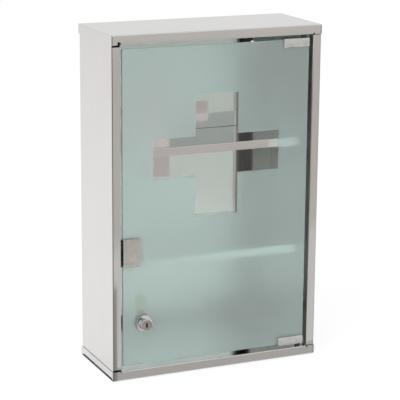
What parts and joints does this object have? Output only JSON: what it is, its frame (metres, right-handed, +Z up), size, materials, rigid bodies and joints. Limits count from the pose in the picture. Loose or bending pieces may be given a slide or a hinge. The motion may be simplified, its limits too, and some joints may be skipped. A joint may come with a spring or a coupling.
{
  "type": "glass door medical cabinet",
  "caption": "Folded stainless steel wall cabinet with fixed shelves and a frosted glass door with a clear cross, on pin hinges, with a magnet catch and a cam lock.",
  "frame": {"origin": "middle of the base of the case", "axes": "+Z up, -Y out of the front through the door, +X towards the hinge side as seen from the front"},
  "size_m": [0.3, 0.1296, 0.46],
  "materials": {
    "polished_steel": "polished stainless sheet",
    "satin_steel": "satin stainless",
    "chrome": "bright plated",
    "yellow_zinc": "zinc plated and yellow passivated",
    "brass": "stamped",
    "frosted_glass": "etched on the back apart from a clear cross",
    "white_plastic": "moulded",
    "dark_nylon": "moulded",
    "black_rubber": "matt",
    "ferrite": "sintered magnet"
  },
  "bodies": {
    "case": {"top_cap": "polished_steel", "bottom_cap": "polished_steel", "left_side_panel": "polished_steel", "right_side_panel": "polished_steel", "back_panel": "polished_steel", "upper_shelf": "polished_steel", "lower_shelf": "polished_steel", "catch_housing": "white_plastic", "catch_magnet": "ferrite", "catch_screw_front": "chrome", "catch_screw_rear": "chrome", "top_hinge_bush": "dark_nylon", "bottom_hinge_bush": "dark_nylon"},
    "door": {"door_glass": "frosted_glass", "top_hinge_clamp": "chrome", "bottom_hinge_clamp": "chrome", "top_hinge_pad": "black_rubber", "bottom_hinge_pad": "black_rubber", "top_hinge_grub_left": "satin_steel", "top_hinge_grub_right": "satin_steel", "bottom_hinge_grub_left": "satin_steel", "bottom_hinge_grub_right": "satin_steel", "top_hinge_pin": "satin_steel", "bottom_hinge_pin": "satin_steel", "door_pull": "chrome", "door_pull_grub": "satin_steel", "lock_housing": "chrome", "lock_gasket": "black_rubber", "lock_washer": "satin_steel", "lock_nut": "satin_steel"},
    "lock_barrel": {"lock_plug": "satin_steel", "lock_wafer_1": "brass", "lock_wafer_2": "brass", "lock_wafer_3": "brass", "lock_wafer_4": "brass", "lock_cam": "yellow_zinc", "cam_screw": "chrome"}
  },
  "joints": [
    {"name": "door_hinge", "type": "hinge", "parent": "case", "child": "door", "pos_m": [0.1255, -0.0555, 0], "axis": [0, 0, 1], "range_deg": [0, 135]},
    {"name": "lock_turn", "type": "hinge", "parent": "door", "child": "lock_barrel", "pos_m": [-0.105, -0.0467, 0.076], "axis": [0, -1, 0], "range_deg": [0, 90]}
  ]
}
